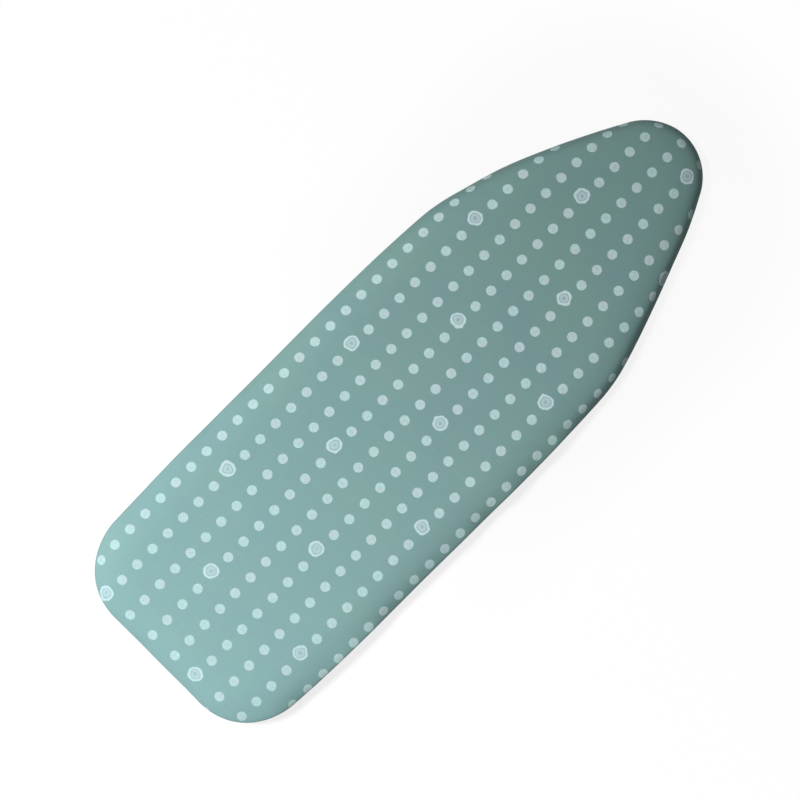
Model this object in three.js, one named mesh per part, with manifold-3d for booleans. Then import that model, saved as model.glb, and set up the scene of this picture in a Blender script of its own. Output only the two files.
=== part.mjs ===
import * as THREE from 'three';
import { mergeVertices } from 'three/addons/utils/BufferGeometryUtils.js';
import Module from 'manifold-3d';

// Ironing board cover, as it sits stretched on its board: a printed cotton sheet over a foam pad and
// a felt backing, turned under the board's rim and drawn in by a cord that runs in its hem.
// Millimetres. +X points to the nose, +Z is up, and the hem casing's flat underside lies at z = 0.
// The board is not part of the cover. Its space stays open, and its plan sizes everything else.

// The board's plan: its size, and the radius and turn (in degrees) of the bends along one half
const boardLength = 1000;
const boardWidth = 340;
const noseRadius = 68;
const noseTurn = 62.5;
const taperTurn = 11.2;
const shoulderRadius = 252;
const shoulderTurn = 12.7;
const bendRadius = 2700;
const sideTurn = 1.6;
const cornerRadius = 84;

// The board's round rim, and the layers on it from the inside out
const rimRadius = 11;
const layerGap = 0.3;
const feltThickness = 2.8;
const foamThickness = 7.4;
const sheetThickness = 0.9;
const feltWrap = 25;

// The sheet's edge under the board, and the casing sewn to it
const skirtDepth = 44;
const casingWidth = 10;
const casingCorner = 3;
const seamWidth = 8;
const seamThickness = 1.2;
const mouthHalf = 15;
const threadRadius = 0.35;
const bartackWidth = 2;
const bartackHeight = 0.8;
const bartackInset = 0.6;

// The blank care label in the seam
const labelWidth = 30;
const labelLength = 26;
const labelThickness = 0.5;
const labelTuck = 2;

// The drawcord
const cordDiameter = 2.8;
const boreClearance = 0.5;
const cordBendRadius = 12;

// The cord lock: body, button and spring
const slideGap = 0.3;
const buttonWall = 1;
const lockWall = 1.05;
const lockSideWall = 2.2;
const lockEndWall = 1.5;
const lockLip = 6.5;
const lockCorner = 4;
const lockMouthCorner = 1.5;
const lockBevel = 0.7;
const lockStandoff = 8;
const lockTravel = 34;
const buttonWidth = 11;
const buttonEndWall = 1.5;
const buttonTravel = 3;
const buttonHeadWidth = 13;
const buttonHeadHeight = 7;
const buttonHeadLength = 2.6;
const buttonHeadCorner = 2;
const buttonBevel = 0.5;
const springSpace = 6;
const springWire = 0.5;
const springRadius = 1.9;
const springTurns = 3.5;

// The cord end: a bell that both cord ends are knotted in, and its cap
const bellLength = 12;
const bellWall = 0.8;
const bellRounding = 0.6;
const bellStandoff = 2;
const capThickness = 1.6;
const plugLength = 2;

// One overrun for all cuts and joins
const overrun = 0.5;

// How finely curves are divided
const noseSteps = 7;
const taperSteps = 4;
const shoulderSteps = 3;
const bendSteps = 2;
const sideSteps = 3;
const cornerSteps = 9;
const layerSteps = 6;
const skirtSteps = 5;
const wrapSteps = 2;
const casingCornerSteps = 1;
const lockCornerSteps = 3;
const cordSides = 8;
const boreSides = 10;
const threadSides = 5;
const cordBendSteps = 6;
const bellSides = 20;
const springSides = 5;
const springStepsPerTurn = 8;

// Heights and radii that follow from the sizes above
const cordRadius = cordDiameter / 2;
const slotHalf = cordRadius + slideGap;
const buttonHalf = slotHalf + buttonWall;
const cavityHalf = buttonHalf + slideGap;
const lockHeight = 2 * (cavityHalf + lockWall);
const casingHeight = lockHeight + 2 * layerGap;
const cordHeight = casingHeight / 2;
const rimHeight = casingHeight + layerGap + rimRadius;
const feltInside = rimRadius + layerGap;
const feltOutside = feltInside + feltThickness;
const foamInside = feltOutside + layerGap;
const foamOutside = foamInside + foamThickness;
const sheetInside = foamOutside + layerGap;
const sheetOutside = sheetInside + sheetThickness;
const seamTop = casingHeight - sheetThickness - layerGap;
const seamBottom = seamTop - seamThickness;
const threadHeight = seamBottom - layerGap - threadRadius;
const casingOutside = -skirtDepth - layerGap;
const casingInside = casingOutside - casingWidth;
const channel = casingOutside - casingWidth / 2;
const boreRadius = cordRadius + boreClearance;

// Places along X behind the tail's hem, from the cord's bends to the cord end
const pairPitch = cordDiameter + slideGap;
const pairHalf = pairPitch / 2 + cordRadius;
const cordTurnX = -boardLength / 2 - channel + cordBendRadius;
const lockLength = buttonWidth + 2 * slideGap + 2 * lockSideWall;
const lockX = cordTurnX + lockStandoff + lockLength / 2;
const bellX = lockX + lockLength / 2 + lockTravel + bellStandoff;
const bellEndX = bellX + bellLength;
const cordEndX = bellEndX - plugLength - slideGap;

const degrees = Math.PI / 180;
const wasm = await Module();
wasm.setup();

function material(colour, roughness) {
  return new THREE.MeshStandardMaterial({ color: colour, roughness, metalness: 0 });
}

function named(name, geometry, finish) {
  const mesh = new THREE.Mesh(geometry, finish);
  mesh.name = name;
  return mesh;
}

// A point of a level path: its place, and the way that faces outward there
function pathPoint(x, y, angle) {
  return { x, y, outX: Math.cos(angle), outY: Math.sin(angle) };
}

// The points after the start of a left-turning arc that starts at a path point of the given angle
function arcOn(start, radius, from, turn, steps) {
  const centreX = start.x - radius * Math.cos(from);
  const centreY = start.y - radius * Math.sin(from);
  const points = [];
  for (let k = 1; k <= steps; k++) {
    const angle = from + (turn * k) / steps;
    points.push(pathPoint(centreX + radius * Math.cos(angle), centreY + radius * Math.sin(angle), angle));
  }
  return points;
}

// One half of the board's plan, from the nose's tip to the tail: tangent arcs whose taper is as long
// as the width needs, and whose side is as long as the length needs
function halfPlan() {
  const noseEnd = noseTurn * degrees;
  const taperEnd = noseEnd + taperTurn * degrees;
  const shoulderEnd = taperEnd + shoulderTurn * degrees;
  const widest = Math.PI / 2;
  const rise = (from, to) => Math.sin(to) - Math.sin(from);
  const noseRise = noseRadius * rise(0, noseEnd);
  const sideRise = shoulderRadius * rise(taperEnd, shoulderEnd) + bendRadius * rise(shoulderEnd, widest);
  const taperRadius = (boardWidth / 2 - noseRise - sideRise) / rise(noseEnd, taperEnd);

  const plan = [pathPoint(boardLength / 2, 0, 0)];
  const bend = (radius, from, to, steps) => plan.push(...arcOn(plan.at(-1), radius, from, to - from, steps));
  bend(noseRadius, 0, noseEnd, noseSteps);
  bend(taperRadius, noseEnd, taperEnd, taperSteps);
  bend(shoulderRadius, taperEnd, shoulderEnd, shoulderSteps);
  bend(bendRadius, shoulderEnd, widest, bendSteps);

  const sideShare = Math.sin(sideTurn * degrees);
  const sideEnd = widest + sideTurn * degrees;
  const sideRadius = (plan.at(-1).x + boardLength / 2 - cornerRadius * (1 - sideShare)) / sideShare;
  bend(sideRadius, widest, sideEnd, sideSteps);
  bend(cornerRadius, sideEnd, Math.PI, cornerSteps);
  return plan;
}

const half = halfPlan();
const otherHalf = half.slice(1).reverse().map((p) => ({ x: p.x, y: -p.y, outX: p.outX, outY: -p.outY }));
const plan = [...otherHalf, ...half];
const widestX = half[noseSteps + taperSteps + shoulderSteps + bendSteps].x;

function movedOut(path, out) {
  return path.map((p) => ({ ...p, x: p.x + out * p.outX, y: p.y + out * p.outY }));
}

function geometryOf(positions, faces) {
  const geometry = new THREE.BufferGeometry();
  geometry.setAttribute('position', new THREE.Float32BufferAttribute(positions, 3));
  geometry.setIndex(faces);
  geometry.computeVertexNormals();
  return geometry;
}

// The points [out, up] of an arc round the rim's centre line, from one angle to another in degrees
function rimArc(outRadius, upRadius, from, to, steps) {
  const points = [];
  for (let k = 0; k <= steps; k++) {
    const angle = (from + ((to - from) * k) / steps) * degrees;
    points.push([outRadius * Math.cos(angle) - rimRadius, rimHeight + upRadius * Math.sin(angle)]);
  }
  return points;
}

// A layer that lies over the whole board. Its section [out, up] runs from the edge of its flat
// underside, round its outer edge, to the edge of its flat top.
function layer(section) {
  const positions = [];
  for (const [out, up] of section) {
    for (const p of movedOut(plan, out)) positions.push(p.x, p.y, up);
  }
  const count = plan.length;
  const faces = [];
  for (let j = 0; j + 1 < section.length; j++) {
    for (let i = 0; i < count; i++) {
      const here = j * count + i;
      const next = j * count + ((i + 1) % count);
      faces.push(here, next, next + count, here, next + count, here + count);
    }
  }
  const top = (section.length - 1) * count;
  for (let low = 0, high = count - 1; low < high; low++, high--) {
    if (low + 1 < high) {
      faces.push(top + low, top + low + 1, top + high);
      faces.push(low + 1, low, high);
    }
    if (low + 1 < high - 1) {
      faces.push(top + low + 1, top + high - 1, top + high);
      faces.push(high - 1, low + 1, high);
    }
  }
  return geometryOf(positions, faces);
}

// A solid swept along an open level path. The section is a THREE.Shape in [out, up], with any bore
// as a hole of the shape.
function sweep(path, shape) {
  const { shape: outline, holes } = shape.extractPoints(casingCornerSteps);
  const open = (loop) => (loop[0].equals(loop.at(-1)) ? loop.slice(1) : loop);
  const turned = (loop, clockwise) =>
    THREE.ShapeUtils.isClockWise(loop) === clockwise ? loop : loop.slice().reverse();
  const loops = [turned(open(outline), false), ...holes.map((hole) => turned(open(hole), true))];
  const ring = loops.flat();
  const positions = [];
  for (const p of path) {
    for (const { x: out, y: up } of ring) positions.push(p.x + out * p.outX, p.y + out * p.outY, up);
  }
  const faces = [];
  for (let i = 0; i + 1 < path.length; i++) {
    let first = i * ring.length;
    for (const loop of loops) {
      for (let j = 0; j < loop.length; j++) {
        const here = first + j;
        const next = first + ((j + 1) % loop.length);
        faces.push(here, here + ring.length, next + ring.length, here, next + ring.length, next);
      }
      first += loop.length;
    }
  }
  const end = (path.length - 1) * ring.length;
  for (const [a, b, c] of THREE.ShapeUtils.triangulateShape(loops[0], loops.slice(1))) {
    const left = THREE.ShapeUtils.area([ring[a], ring[b], ring[c]]) > 0;
    faces.push(a, left ? b : c, left ? c : b);
    faces.push(end + a, end + (left ? c : b), end + (left ? b : c));
  }
  return geometryOf(positions, faces);
}

// A round section of flat sides, as a shape or as a hole of one
function roundSection(target, out, up, radius, sides) {
  for (let k = 0; k < sides; k++) {
    const angle = ((k + 0.5) * 2 * Math.PI) / sides;
    const x = out + radius * Math.cos(angle);
    const y = up + radius * Math.sin(angle);
    if (k === 0) target.moveTo(x, y);
    else target.lineTo(x, y);
  }
  target.closePath();
  return target;
}

function solidOf(geometry) {
  const bare = geometry.clone();
  bare.deleteAttribute('normal');
  bare.deleteAttribute('uv');
  const merged = mergeVertices(bare);
  const mesh = new wasm.Mesh({
    numProp: 3,
    vertProperties: new Float32Array(merged.attributes.position.array),
    triVerts: new Uint32Array(merged.index.array),
  });
  return new wasm.Manifold(mesh);
}

function geometryFrom(solid) {
  const mesh = solid.getMesh();
  return geometryOf(Array.from(mesh.vertProperties), Array.from(mesh.triVerts));
}

// A box between two corners
function box(low, high) {
  const size = high.map((value, axis) => value - low[axis]);
  const geometry = new THREE.BoxGeometry(...size);
  return geometry.translate(...low.map((value, axis) => value + size[axis] / 2));
}

// A flat plate between two corners in X and Y, its middle at z = 0, with bevelled edges. Its
// corners have one radius at the low Y end and another at the high Y end.
function plate(low, high, thickness, [lowCorner, highCorner], bevel) {
  const outline = new THREE.Shape();
  outline.moveTo(low[0] + lowCorner, low[1]);
  outline.absarc(high[0] - lowCorner, low[1] + lowCorner, lowCorner, -Math.PI / 2, 0);
  outline.absarc(high[0] - highCorner, high[1] - highCorner, highCorner, 0, Math.PI / 2);
  outline.absarc(low[0] + highCorner, high[1] - highCorner, highCorner, Math.PI / 2, Math.PI);
  outline.absarc(low[0] + lowCorner, low[1] + lowCorner, lowCorner, Math.PI, Math.PI * 1.5);
  const geometry = new THREE.ExtrudeGeometry(outline, {
    depth: thickness - 2 * bevel,
    curveSegments: lockCornerSteps,
    bevelThickness: bevel,
    bevelSize: bevel,
    bevelOffset: -bevel,
    bevelSegments: 2,
  });
  return geometry.translate(0, 0, bevel - thickness / 2);
}

const sheetFinish = material(0x80a3a1, 0.9);
const foamFinish = material(0xe9e4d4, 0.95);
const feltFinish = material(0xb9b8b2, 1);
const tapeFinish = material(0x7b9c9a, 0.9);
const threadFinish = material(0xc6dedd, 0.8);
const cordFinish = material(0xeeece6, 0.85);
const plasticFinish = material(0x4a4f52, 0.45);
const steelFinish = new THREE.MeshStandardMaterial({ color: 0xb4b6b8, roughness: 0.35, metalness: 1 });
const labelFinish = material(0xf4f3ef, 0.8);

// The printed sheet: flat over the pad, round the rim in a quarter circle and on in a quarter
// ellipse to its turned-under edge, flat below the board
function printedCover() {
  const insideDrop = rimHeight - casingHeight;
  return layer([
    ...rimArc(sheetInside, sheetInside, 90, 0, layerSteps),
    ...rimArc(sheetInside, insideDrop, 0, -90, skirtSteps).slice(1),
    [-skirtDepth, casingHeight],
    [-skirtDepth, casingHeight - sheetThickness],
    ...rimArc(sheetOutside, insideDrop + sheetThickness, -90, 0, skirtSteps),
    ...rimArc(sheetOutside, sheetOutside, 0, 90, layerSteps).slice(1),
  ]);
}

// The foam pad: over the board and down to the rim's widest place
function foamPad() {
  return layer([
    ...rimArc(foamInside, foamInside, 90, 0, layerSteps),
    ...rimArc(foamOutside, foamOutside, 0, 90, layerSteps),
  ]);
}

// The felt backing: it lies on the board and wraps a little further round the rim than the foam
function feltBacking() {
  return layer([
    ...rimArc(feltInside, feltInside, 90, 0, layerSteps),
    ...rimArc(feltInside, feltInside, 0, -feltWrap, wrapSteps).slice(1),
    ...rimArc(feltOutside, feltOutside, -feltWrap, 0, wrapSteps),
    ...rimArc(feltOutside, feltOutside, 0, 90, layerSteps).slice(1),
  ]);
}

const bartackY = mouthHalf + bartackInset + bartackWidth / 2;

// A path round the hem that stops short of the tail's middle at both ends
function hemPath(stop) {
  const tail = -boardLength / 2;
  return [pathPoint(tail, -stop, Math.PI), ...plan, pathPoint(tail, stop, Math.PI)];
}

// The hem casing: a tape folded round the drawcord's bore, its two edges sewn under the sheet's
function hemCasing() {
  const topCorner = casingHeight - seamTop;
  const section = new THREE.Shape();
  section.moveTo(casingInside + casingCorner, 0);
  section.lineTo(casingOutside - casingCorner, 0);
  section.absarc(casingOutside - casingCorner, casingCorner, casingCorner, -Math.PI / 2, 0);
  section.lineTo(casingOutside, seamBottom);
  section.lineTo(casingOutside + seamWidth, seamBottom);
  section.lineTo(casingOutside + seamWidth, seamTop);
  section.lineTo(casingOutside, seamTop);
  section.absarc(casingOutside - topCorner, seamTop, topCorner, 0, Math.PI / 2);
  const innerCentre = casingInside + casingCorner;
  section.absarc(innerCentre, casingHeight - casingCorner, casingCorner, Math.PI / 2, Math.PI);
  section.absarc(innerCentre, casingCorner, casingCorner, Math.PI, Math.PI * 1.5);
  section.holes.push(roundSection(new THREE.Path(), channel, cordHeight, boreRadius, boreSides));
  return sweep(hemPath(mouthHalf), section);
}

// The seam's stitching, as one round of thread under the seam
function hemThread() {
  const seamMiddle = casingOutside + seamWidth / 2;
  const section = roundSection(new THREE.Shape(), seamMiddle, threadHeight, threadRadius, threadSides);
  return sweep(hemPath(bartackY + bartackWidth / 2 + layerGap), section);
}

// A bar of dense stitches across the seam beside a mouth of the casing; its middle is at y
function bartack(y) {
  const seamX = -boardLength / 2 - casingOutside;
  const top = seamBottom - layerGap;
  return box(
    [seamX - seamWidth + bartackInset, y - bartackWidth / 2, top - bartackHeight],
    [seamX - bartackInset, y + bartackWidth / 2, top],
  );
}

// The care label: a blank tab that hangs from the seam at the board's widest place
function careLabel() {
  const seamY = -boardWidth / 2 - casingOutside;
  const top = threadHeight - threadRadius - layerGap;
  return box(
    [widestX - labelWidth / 2, seamY - labelLength, top - labelThickness],
    [widestX + labelWidth / 2, seamY - labelTuck, top],
  );
}

// The drawcord: from the bell through the lock, a bend into one mouth of the casing, round the hem,
// out of the other mouth and back
function drawcord() {
  const round = roundSection(new THREE.Shape(), 0, cordHeight, cordRadius, cordSides);
  const start = pathPoint(cordTurnX, -pairPitch / 2, Math.PI / 2);
  const firstBend = arcOn(start, cordBendRadius, Math.PI / 2, Math.PI / 2, cordBendSteps);
  const last = { ...firstBend.at(-1), y: -firstBend.at(-1).y };
  const path = [
    pathPoint(cordEndX, start.y, Math.PI / 2),
    start,
    ...firstBend,
    ...movedOut(plan, channel),
    last,
    ...arcOn(last, cordBendRadius, Math.PI, Math.PI / 2, cordBendSteps),
    pathPoint(cordEndX, -start.y, Math.PI * 1.5),
  ];
  return sweep(path, round);
}

// The lock's places along its own Y, with the cords' middle at zero: the button's slot pinches the
// cords against the far edge of the body's hole, and slot and hole line up when it is pressed
const gripEdge = pairHalf + slideGap;
const buttonEnd = -gripEdge - buttonEndWall;
const springEnd = buttonEnd - springSpace;
const lockBottom = springEnd - lockEndWall;
const lockTop = gripEdge + lockLip;
const headBottom = lockTop + buttonTravel + slideGap;

function lockBody() {
  const halfLength = lockLength / 2;
  const cavityWide = buttonWidth / 2 + slideGap;
  const corners = [lockCorner, lockMouthCorner];
  const shell = plate([-halfLength, lockBottom], [halfLength, lockTop], lockHeight, corners, lockBevel);
  const cavity = box([-cavityWide, springEnd, -cavityHalf], [cavityWide, lockTop + overrun, cavityHalf]);
  const hole = box(
    [-halfLength - overrun, -gripEdge - buttonTravel, -slotHalf],
    [halfLength + overrun, gripEdge, slotHalf],
  );
  return geometryFrom(solidOf(shell).subtract(solidOf(cavity)).subtract(solidOf(hole)));
}

function lockButton() {
  const halfWidth = buttonWidth / 2;
  const stem = box([-halfWidth, buttonEnd, -buttonHalf], [halfWidth, headBottom + overrun, buttonHalf]);
  const headHalf = [buttonHeadWidth / 2, buttonHeadHeight / 2];
  const corners = [buttonHeadCorner, buttonHeadCorner];
  const head = plate(headHalf.map((value) => -value), headHalf, buttonHeadLength, corners, buttonBevel);
  head.rotateX(-Math.PI / 2).translate(0, headBottom + buttonHeadLength / 2, 0);
  const slot = box(
    [-halfWidth - overrun, -gripEdge, -slotHalf],
    [halfWidth + overrun, gripEdge + buttonTravel, slotHalf],
  );
  return geometryFrom(solidOf(stem).add(solidOf(head)).subtract(solidOf(slot)));
}

// The spring's centre line, a helix along Y that keeps clear of the wall and the button
class Helix extends THREE.Curve {
  getPoint(share, target = new THREE.Vector3()) {
    const angle = share * springTurns * 2 * Math.PI;
    const clear = springWire / 2 + slideGap;
    const y = springEnd + clear + share * (springSpace - 2 * clear);
    return target.set(springRadius * Math.cos(angle), y, springRadius * Math.sin(angle));
  }
}

function lockSpring() {
  const wire = roundSection(new THREE.Shape(), 0, 0, springWire / 2, springSides);
  const steps = springTurns * springStepsPerTurn;
  return new THREE.ExtrudeGeometry(wire, { steps, extrudePath: new Helix(), bevelEnabled: false });
}

// Turns a profile of [radius, x] points round the X axis
function turned(profile) {
  const points = profile.map(([radius, x]) => new THREE.Vector2(radius, x));
  return new THREE.LatheGeometry(points, bellSides).rotateZ(-Math.PI / 2);
}

const bellBore = pairHalf + slideGap;
const bellRadius = bellBore + bellWall;

function cordEndBell() {
  return turned([
    [bellBore, bellX],
    [bellRadius - bellRounding, bellX],
    [bellRadius, bellX + bellRounding],
    [bellRadius, bellEndX],
    [bellBore, bellEndX],
    [bellBore, bellX],
  ]);
}

function cordEndCap() {
  const plugRadius = bellBore - slideGap;
  const start = bellEndX + slideGap;
  const end = start + capThickness;
  return turned([
    [0, bellEndX - plugLength],
    [plugRadius, bellEndX - plugLength],
    [plugRadius, start],
    [bellRadius, start],
    [bellRadius, end - bellRounding],
    [bellRadius - bellRounding, end],
    [0, end],
  ]);
}

const cover = new THREE.Group();
cover.add(
  named('printed_cover', printedCover(), sheetFinish),
  named('foam_pad', foamPad(), foamFinish),
  named('felt_backing', feltBacking(), feltFinish),
  named('hem_casing', hemCasing(), tapeFinish),
  named('hem_thread', hemThread(), threadFinish),
  named('casing_bartack_left', bartack(bartackY), threadFinish.clone()),
  named('casing_bartack_right', bartack(-bartackY), threadFinish.clone()),
  named('care_label', careLabel(), labelFinish),
  named('drawcord', drawcord(), cordFinish),
);

const lock = new THREE.Group();
lock.position.set(lockX, 0, cordHeight);
lock.add(
  named('cord_lock_body', lockBody(), plasticFinish),
  named('cord_lock_button', lockButton(), plasticFinish.clone()),
  named('cord_lock_spring', lockSpring(), steelFinish),
);

const cordEnd = new THREE.Group();
cordEnd.position.z = cordHeight;
cordEnd.add(
  named('cord_end_bell', cordEndBell(), plasticFinish.clone()),
  named('cord_end_cap', cordEndCap(), plasticFinish.clone()),
);

cover.add(lock, cordEnd);

export default cover;
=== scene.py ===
import contextlib
import math

import bmesh
import bpy
import numpy as np
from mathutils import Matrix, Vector


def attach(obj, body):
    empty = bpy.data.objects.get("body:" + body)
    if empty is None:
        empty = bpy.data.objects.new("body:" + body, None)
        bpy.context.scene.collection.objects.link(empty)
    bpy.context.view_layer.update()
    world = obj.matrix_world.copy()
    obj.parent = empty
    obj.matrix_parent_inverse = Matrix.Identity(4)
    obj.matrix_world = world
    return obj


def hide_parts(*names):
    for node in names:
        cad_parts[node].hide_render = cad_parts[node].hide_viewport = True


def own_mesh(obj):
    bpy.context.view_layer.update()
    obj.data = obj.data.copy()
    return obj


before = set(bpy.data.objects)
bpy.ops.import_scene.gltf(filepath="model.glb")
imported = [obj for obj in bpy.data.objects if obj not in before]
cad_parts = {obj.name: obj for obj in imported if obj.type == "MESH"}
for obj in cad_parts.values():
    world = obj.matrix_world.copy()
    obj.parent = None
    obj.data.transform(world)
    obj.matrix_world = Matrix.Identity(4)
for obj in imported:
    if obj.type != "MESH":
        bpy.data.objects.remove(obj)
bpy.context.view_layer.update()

print("frame loaded")


def meshObject(name, points, faces, uvs=None, uvName="print"):
    mesh = bpy.data.meshes.new(name)
    mesh.from_pydata(np.asarray(points, float).tolist(), [], faces)
    if uvs is not None:
        corner = np.zeros(len(mesh.loops), np.int32)
        mesh.loops.foreach_get("vertex_index", corner)
        mesh.uv_layers.new(name=uvName).data.foreach_set("uv", np.asarray(uvs, np.float32)[corner].ravel())
    mesh.polygons.foreach_set("use_smooth", np.ones(len(mesh.polygons), bool))
    mesh.update()
    piece = bpy.data.objects.new(name, mesh)
    bpy.context.collection.objects.link(piece)
    return piece


def onlySelect(piece):
    bpy.ops.object.select_all(action="DESELECT")
    piece.select_set(True)
    bpy.context.view_layer.objects.active = piece


def applied(piece, kind, **settings):
    modifier = piece.modifiers.new(kind.lower(), kind)
    for key, value in settings.items():
        setattr(modifier, key, value)
    onlySelect(piece)
    bpy.ops.object.modifier_apply(modifier=modifier.name)


def finishPiece(piece, body, material, node):
    piece.data.materials.clear()
    piece.data.materials.append(material)
    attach(piece, body)
    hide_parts(node)
    return piece


def reworked(piece, work):
    made = bmesh.new()
    made.from_mesh(piece.data)
    work(made)
    made.to_mesh(piece.data)
    made.free()


def closeEnds(made):
    bmesh.ops.holes_fill(made, edges=[edge for edge in made.edges if edge.is_boundary], sides=0)


def bandFaces(starts, count):
    # four-cornered faces from each ring of points, given by the number of its first one, to the ring after it
    first = np.reshape(starts, (-1, 1))
    here = np.arange(count)
    following = (here + 1) % count
    quads = [first + here, first + count + here, first + count + following, first + following]
    return np.stack(quads, 2).reshape(-1, 4).tolist()


def wayAlong(points, axis=0):
    # the way from the first point to each one
    steps = np.linalg.norm(np.diff(points, axis=axis), axis=-1)
    return np.insert(np.cumsum(steps, axis=axis), 0, 0.0, axis=axis)


def directions(points, axis=0):
    slope = np.gradient(points, axis=axis)
    return slope / np.linalg.norm(slope, axis=-1, keepdims=True)


def smoothNoise(places, seed, knots=4096):
    # one value between -1 and 1 for each place, with a new knot at every whole number
    values = np.random.default_rng(seed).uniform(-1, 1, knots)
    places = np.asarray(places, float)
    low = np.floor(places).astype(int)
    share = places - low
    share = share * share * (3 - 2 * share)
    return values[low % knots] * (1 - share) + values[(low + 1) % knots] * share


def smoothStep(low, high, value):
    share = np.clip((np.asarray(value, float) - low) / (high - low), 0, 1)
    return share * share * (3 - 2 * share)


view = {
    "lens": 120,
    "sensor": 36,
    "middle": (-0.0240, 0.0184, 0.02),
    "frameWidth": 1.1000,
    "turn": math.radians(-44.8),
    "clip": (0.05, 50),
}

lamp = {"place": (-1.55, 2.08, 4.45), "aim": (-9.3, 1.3, 0.04), "size": 1.5, "power": 1222}
skyStrength = 0.195

# the floor is lit white, and only near the board it is dull enough to hold its shadow
floorLook = {
    "size": 12,
    "drop": 0.0004,
    "bounce": 0.3,  # how much light it gives back to the board
    "pale": 0.9,  # and to the eye, where it is dull
    "line": 0.35,  # half the length of the line that distances are taken from
    "fade": (0.20, 0.34),
    "tail": 0.80,  # how far it is lit near the board at its tail, at its nose and far off
    "nose": 0.90,
    "far": 0.98,
}


def linked(name, data):
    made = bpy.data.objects.new(name, data)
    bpy.context.collection.objects.link(made)
    return made


def makeCamera():
    data = bpy.data.cameras.new("camera")
    data.lens = view["lens"]
    data.sensor_width = view["sensor"]
    data.clip_start, data.clip_end = view["clip"]
    camera = linked("camera", data)
    x, y, z = view["middle"]
    camera.location = (x, y, z + view["frameWidth"] * view["lens"] / view["sensor"])
    camera.rotation_euler = (0, 0, view["turn"])
    bpy.context.scene.camera = camera


makeCamera()
bpy.context.scene.view_settings.view_transform = "Standard"


class Wire:
    # a node's output, which the arithmetic and the functions below work on
    def __init__(self, made, output=0):
        self.tree, self.socket = made.id_data, made.outputs[output]

    def __add__(self, other):
        return calc("ADD", self, other)

    def __sub__(self, other):
        return calc("SUBTRACT", self, other)

    def __rsub__(self, other):
        return calc("SUBTRACT", other, self)

    def __mul__(self, other):
        return calc("MULTIPLY", self, other)


def nodeIn(tree, kind, values=None, **settings):
    made = tree.nodes.new("ShaderNode" + kind)
    for key, value in settings.items():
        setattr(made, key, value)
    for key, value in (values or {}).items():
        if isinstance(value, Wire):
            tree.links.new(value.socket, made.inputs[key])
        else:
            made.inputs[key].default_value = value
    return made


def calc(operation, first, second=0.0):
    tree = (first if isinstance(first, Wire) else second).tree
    return Wire(nodeIn(tree, "Math", {0: first, 1: second}, operation=operation))


def vector(operation, first, second=(0, 0, 0)):
    made = nodeIn(first.tree, "VectorMath", {0: first, 1: second}, operation=operation)
    return Wire(made, "Value" if operation in ("DOT_PRODUCT", "LENGTH") else "Vector")


def ramp(value, low, high, toLow=0.0, toHigh=1.0, kind="SMOOTHSTEP"):
    values = {"Value": value, "From Min": low, "From Max": high, "To Min": toLow, "To Max": toHigh}
    return Wire(nodeIn(value.tree, "MapRange", values, interpolation_type=kind), "Result")


def mixColour(share, first, second, blend="MIX"):
    tree = (share if isinstance(share, Wire) else first).tree
    return Wire(nodeIn(tree, "Mix", {0: share, 6: first, 7: second}, data_type="RGBA", blend_type=blend), 2)


def separate(place):
    made = nodeIn(place.tree, "SeparateXYZ", {0: place})
    return [Wire(made, k) for k in range(3)]


def combine(x, y, z=0.0):
    return Wire(nodeIn(x.tree, "CombineXYZ", {0: x, 1: y, 2: z}))


def noise(place, scale, detail=2.0, roughness=0.5, output="Fac"):
    values = {"Vector": place, "Scale": scale, "Detail": detail, "Roughness": roughness}
    return Wire(nodeIn(place.tree, "TexNoise", values), output)


def streaks(place, stretch, scale=1.0, detail=2.0, roughness=0.5):
    return noise(vector("MULTIPLY", place, stretch), scale, detail, roughness)


def cells(place, scale, spread=1.0):
    return Wire(nodeIn(place.tree, "TexVoronoi", {"Vector": place, "Scale": scale, "Randomness": spread}), "Distance")


def waves(value, length):
    # rises and falls once in each length
    return calc("SINE", value * (2 * math.pi / length))


def fromScreen(red, green, blue):
    # a colour as it is picked on screen, 0 to 255, as the linear colour that a socket takes
    def linear(value):
        value /= 255
        return value / 12.92 if value <= 0.04045 else ((value + 0.055) / 1.055) ** 2.4

    return (linear(red), linear(green), linear(blue), 1.0)


def objectPlace(tree):
    return Wire(nodeIn(tree, "TexCoord"), "Object")


def started(name, uvMap=None):
    # a new material, and where its pattern is: on the object or on one of its UV maps
    material = bpy.data.materials.new(name)
    material.use_nodes = True
    tree = material.node_tree
    tree.nodes.clear()
    return material, Wire(nodeIn(tree, "UVMap", uv_map=uvMap)) if uvMap else objectPlace(tree)


def bump(height, strength, distance, **more):
    values = {"Strength": strength, "Distance": distance, "Height": height, **more}
    return Wire(nodeIn(height.tree, "Bump", values))


def coated(colour, normal, **look):
    values = {"Base Color": colour, "Normal": normal}
    values.update({key.replace("_", " "): value for key, value in look.items()})
    surface = Wire(nodeIn(colour.tree, "BsdfPrincipled", values))
    nodeIn(colour.tree, "OutputMaterial", {"Surface": surface})


def finished(colour, height, strength, distance, **look):
    coated(colour, bump(height, strength, distance), **look)


def seenDirectly(tree, other, seen):
    # one shader for rays that the eye sees by, and another for all other rays
    path = nodeIn(tree, "LightPath")
    camera, glossy, through = (Wire(path, f"Is {kind} Ray") for kind in ("Camera", "Glossy", "Transmission"))
    share = calc("MAXIMUM", calc("MAXIMUM", camera, glossy), through)
    return Wire(nodeIn(tree, "MixShader", {0: share, 1: other, 2: seen}))


def grey(tree, kind, level, **more):
    return Wire(nodeIn(tree, kind, {"Color": (level, level, level, 1), **more}))


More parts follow.
